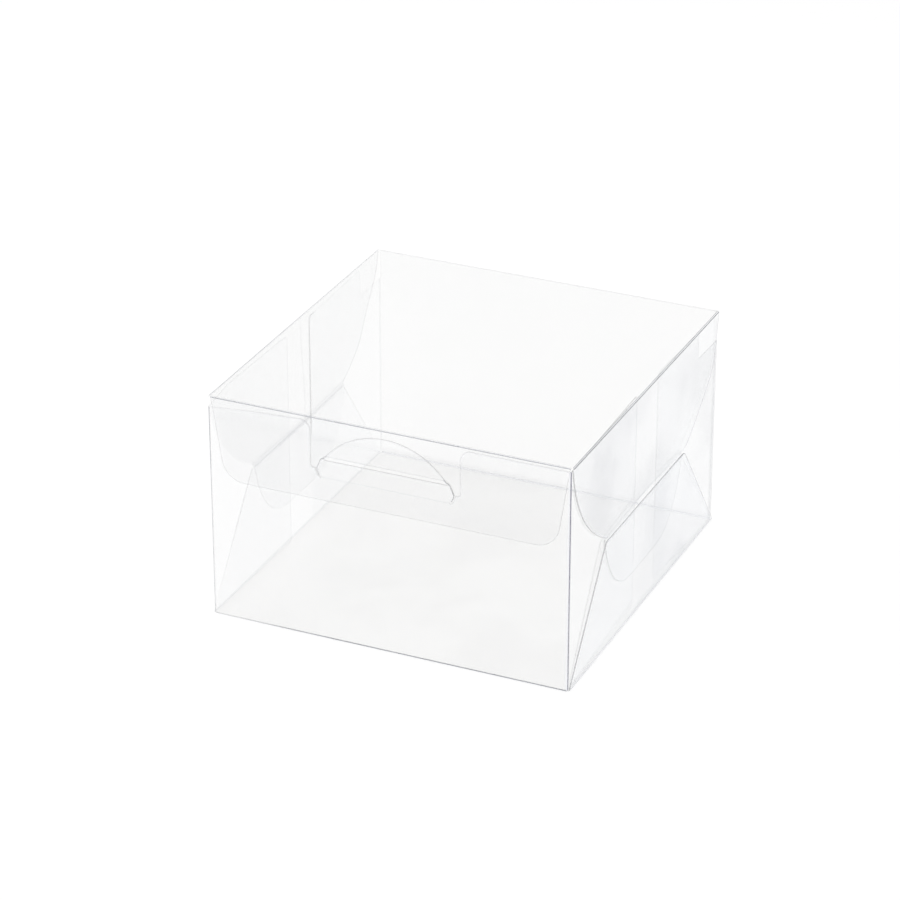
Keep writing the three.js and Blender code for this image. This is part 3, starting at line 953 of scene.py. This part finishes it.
def strip_down(name, points, half, outward, lengthwise):
    """A narrow strip drawn as a line along one direction and extruded through the points given."""
    way = Vector(lengthwise) * half
    strip = start_point(name, Vector(points[0]) - way)
    draw_on([Vector(points[0]) - way, Vector(points[0]) + way])
    bpy.ops.mesh.select_all(action="SELECT")
    bpy.ops.mesh.subdivide(number_cuts=ACROSS_CUTS)
    draw_on(points)
    face_outward(strip, outward)
    return strip


for side, word, jog_score in ((-1, "left", LEFT_JOG_SCORE), (1, "right", JOG_SCORE)):
    path = []
    for k in range(JOG_STEPS + 1):
        t = k / JOG_STEPS
        soft = t * t * (3 - 2 * t)
        path.append((side * (WIDE + (TONGUE_X - WIDE) * soft), 0, HEM + JOG - 2 * JOG * t))
    jog = strip_down(f"crease_tongue_{word}", path, TONGUE_HALF, (side, 0, 0), (0, 1, 0))
    pull(jog, (side * WIDE, 0, HEM), (-side * PULL_IN, 0, 0), PULL_REACH)
    give_film(jog, (jog_score, jog_score, jog_score, FAINT_CUT[2]),
              lambda p: abs(p.z - HEM) > JOG - SEAM, margins=False)
    mark_across(jog, lambda p: min(max((HEM + JOG - p.z) / (2 * JOG), 0), 1))
    side * WIDE * MM
    (HEM + JOG) * MM
    side * WIDE * MM
    (HEM - JOG) * MM
    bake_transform(jog)

lock_path = [(LOCK_MIDDLE, -DEEP, LOCK_CREASE_Z + SEAM + (LOCK_STRIP - SEAM) * k / 4) for k in range(5)]
lock_crease = strip_down("crease_lock", lock_path, LOCK_CREASE_HALF, (0, -1, 0), (1, 0, 0))
give_film(lock_crease, (LOCK_SCORE, LOCK_SCORE, LOCK_SCORE, FAINT_CUT[2]),
          lambda p: abs(p.x - LOCK_MIDDLE) < LOCK_CREASE_HALF - SEAM, margins=False)
mark_across(lock_crease, lambda p: min(max((p.z - LOCK_CREASE_Z) / LOCK_STRIP, 0), 1))
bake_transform(lock_crease)

# %% [markdown]
# ## The table, the room and the lamps
# Clear film is seen against what is behind it, so the table is white and plain, and so is the room.
# The table stays a lit surface, so that it keeps the box's faint shadow.

# %% Table
put_down()
TABLE_DROP = 0.00004
bpy.ops.mesh.primitive_plane_add(size=6, location=(0, 0, -TABLE_DROP))
table = bpy.context.object
table.name = "table"
table.data.materials.clear()
paper = Finish("white_paper")
grain = paper.speckle(400, 3.0)
white = paper.node("ShaderNodeValToRGB", {"stops": [(0.3, 0.992), (0.7, 1.0)]}, {"Fac": grain})
table.data.materials.append(paper.done(paper.node("ShaderNodeBsdfDiffuse", None, {"Color": white})))

# %% Room
ROOM_LIGHT, ROOM_SEEN = 0.8, 1.0
room = bpy.data.worlds.new("white_room")
bpy.context.scene.world = room
room.use_nodes = True
nodes, links = room.node_tree.nodes, room.node_tree.links
nodes.clear()
light_path = nodes.new("ShaderNodeLightPath")
either = nodes.new("ShaderNodeMath")
either.operation = "MAXIMUM"
all_seen = nodes.new("ShaderNodeMath")
all_seen.operation = "MAXIMUM"
strength = nodes.new("ShaderNodeMix")
background = nodes.new("ShaderNodeBackground")
output = nodes.new("ShaderNodeOutputWorld")
links.new(light_path.outputs["Is Camera Ray"], either.inputs[0])
links.new(light_path.outputs["Is Glossy Ray"], either.inputs[1])
links.new(either.outputs[0], all_seen.inputs[0])
links.new(light_path.outputs["Is Transmission Ray"], all_seen.inputs[1])
links.new(all_seen.outputs[0], strength.inputs["Factor"])
strength.inputs["A"].default_value = ROOM_LIGHT
strength.inputs["B"].default_value = ROOM_SEEN
links.new(strength.outputs["Result"], background.inputs["Strength"])
background.inputs["Color"].default_value = (1, 1, 1, 1)
links.new(background.outputs[0], output.inputs["Surface"])

# %% Lamps
def softbox(name, place, size, watts):
    put_down()
    bpy.ops.object.light_add(type="AREA", location=place)
    lamp = bpy.context.object
    lamp.name = name
    lamp.data.shape = "RECTANGLE"
    lamp.data.size, lamp.data.size_y = size
    lamp.data.energy = watts
    lamp.rotation_euler = (-Vector(place)).to_track_quat("-Z", "Y").to_euler()
    lamp.visible_camera = False
    return lamp


softbox("softbox_top", (0.1, -0.1, 1.5), (1.4, 1.4), 6)
softbox("softbox_left", (-1.2, -0.6, 0.9), (0.9, 0.9), 2)

# %% [markdown]
# ## The camera
# It stands where the photographer's did: 24 degrees round from the front, 27 degrees up and nearly a
# metre away, with a long lens.

# %% Camera
AZIMUTH, ELEVATION, DISTANCE = math.radians(24.10), math.radians(26.72), 0.9716
TARGET = Vector((-0.0070, 0.0034, 0.0312))
FOCAL_PIXELS, PICTURE_PIXELS = 3682, 900
away = Vector((math.sin(AZIMUTH) * math.cos(ELEVATION), -math.cos(AZIMUTH) * math.cos(ELEVATION),
               math.sin(ELEVATION)))
put_down()
bpy.ops.object.camera_add(location=TARGET + away * DISTANCE)
camera = bpy.context.object
camera.rotation_euler = (-away).to_track_quat("-Z", "Y").to_euler()
camera.data.sensor_width = 36
camera.data.lens = FOCAL_PIXELS / PICTURE_PIXELS * camera.data.sensor_width
camera.data.clip_start, camera.data.clip_end = 0.01, 20
bpy.context.scene.camera = camera
bpy.context.scene.view_settings.view_transform = "Standard"
bpy.context.scene.cycles.transparent_max_bounces = 64
